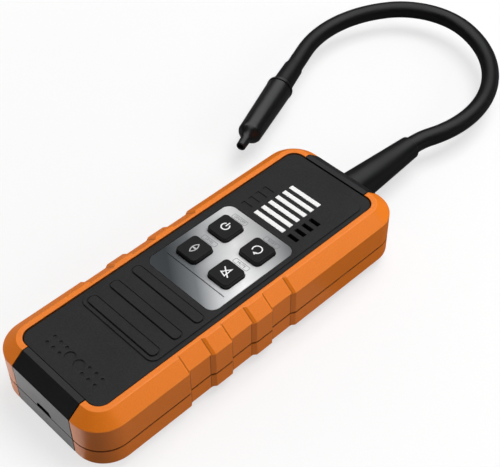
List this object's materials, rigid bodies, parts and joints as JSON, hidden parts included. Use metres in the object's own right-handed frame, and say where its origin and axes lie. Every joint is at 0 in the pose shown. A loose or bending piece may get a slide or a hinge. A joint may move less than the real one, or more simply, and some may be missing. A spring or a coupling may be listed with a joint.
{
  "type": "refrigerant leak detector",
  "caption": "Handheld refrigerant leak detector with a bumpered housing, a keypad, light bars, a bent gooseneck and a sensor under a pull-off cap.",
  "frame": {"origin": "centre of the housing's flat back", "axes": "+Z out of the front face, +Y along the housing towards the neck, +X to the right seen from the front"},
  "size_m": [0.1407, 0.3424, 0.0346],
  "materials": {
    "case_black": "fine texture",
    "bumper_orange": "satin soft touch",
    "panel_grey": "satin",
    "plate_silver": "brushed",
    "light_white": "diffusing",
    "key_power": "satin",
    "key_reset": "satin",
    "key_sensitivity": "satin",
    "key_mute": "satin",
    "switch_black": "plain",
    "board_green": "solder mask",
    "led_white": "plain",
    "battery_blue": "shrink film",
    "port_steel": "plain",
    "pump_grey": "plain",
    "hose_clear": "plain",
    "boss_black": "satin",
    "neck_black": "satin",
    "sleeve_black": "satin",
    "holder_black": "satin",
    "sensor_steel": "plain",
    "cap_black": "satin",
    "filter_white": "felt",
    "screw_steel": "plain"
  },
  "bodies": {
    "housing": {"front_case": "case_black", "rear_case": "case_black", "front_bumper_left": "bumper_orange", "front_bumper_right": "bumper_orange", "rear_bumper_left": "bumper_orange", "rear_bumper_right": "bumper_orange", "front_panel": "panel_grey", "keypad_plate": "plate_silver", "light_guide": "light_white", "key_switches": "switch_black", "main_board": "board_green", "bar_leds": "led_white", "buzzer": "switch_black", "battery": "battery_blue", "charge_port": "port_steel", "air_pump": "pump_grey", "suction_hose": "hose_clear", "neck_boss": "boss_black", "gooseneck": "neck_black", "case_screws": "screw_steel", "board_screws": "screw_steel"},
    "power_button": {"power_key": "key_power"},
    "reset_button": {"reset_key": "key_reset"},
    "sensitivity_button": {"sensitivity_key": "key_sensitivity"},
    "mute_button": {"mute_key": "key_mute"},
    "sensor_head": {"sensor_sleeve": "sleeve_black", "sensor_holder": "holder_black", "sensor_element": "sensor_steel"},
    "tip": {"sensor_cap": "cap_black", "filter_disc": "filter_white"}
  },
  "joints": [
    {"name": "power_press", "type": "slide", "parent": "housing", "child": "power_button", "axis": [0, 0, -1], "range_m": [0, 0.0008], "stiffness_N_per_m": 1500},
    {"name": "reset_press", "type": "slide", "parent": "housing", "child": "reset_button", "axis": [0, 0, -1], "range_m": [0, 0.0008], "stiffness_N_per_m": 1500},
    {"name": "sensitivity_press", "type": "slide", "parent": "housing", "child": "sensitivity_button", "axis": [0, 0, -1], "range_m": [0, 0.0008], "stiffness_N_per_m": 1500},
    {"name": "mute_press", "type": "slide", "parent": "housing", "child": "mute_button", "axis": [0, 0, -1], "range_m": [0, 0.0008], "stiffness_N_per_m": 1500},
    {"name": "neck_bend", "type": "hinge", "parent": "housing", "child": "sensor_head", "pos_m": [-0.05427, 0.2459, 0.014], "axis": [0, 0, 1], "range_deg": [-60, 0], "deforming": ["gooseneck"]},
    {"name": "cap_pull", "type": "slide", "parent": "sensor_head", "child": "tip", "axis": [0.3746, -0.9272, 0], "range_m": [0, 0.03]}
  ]
}
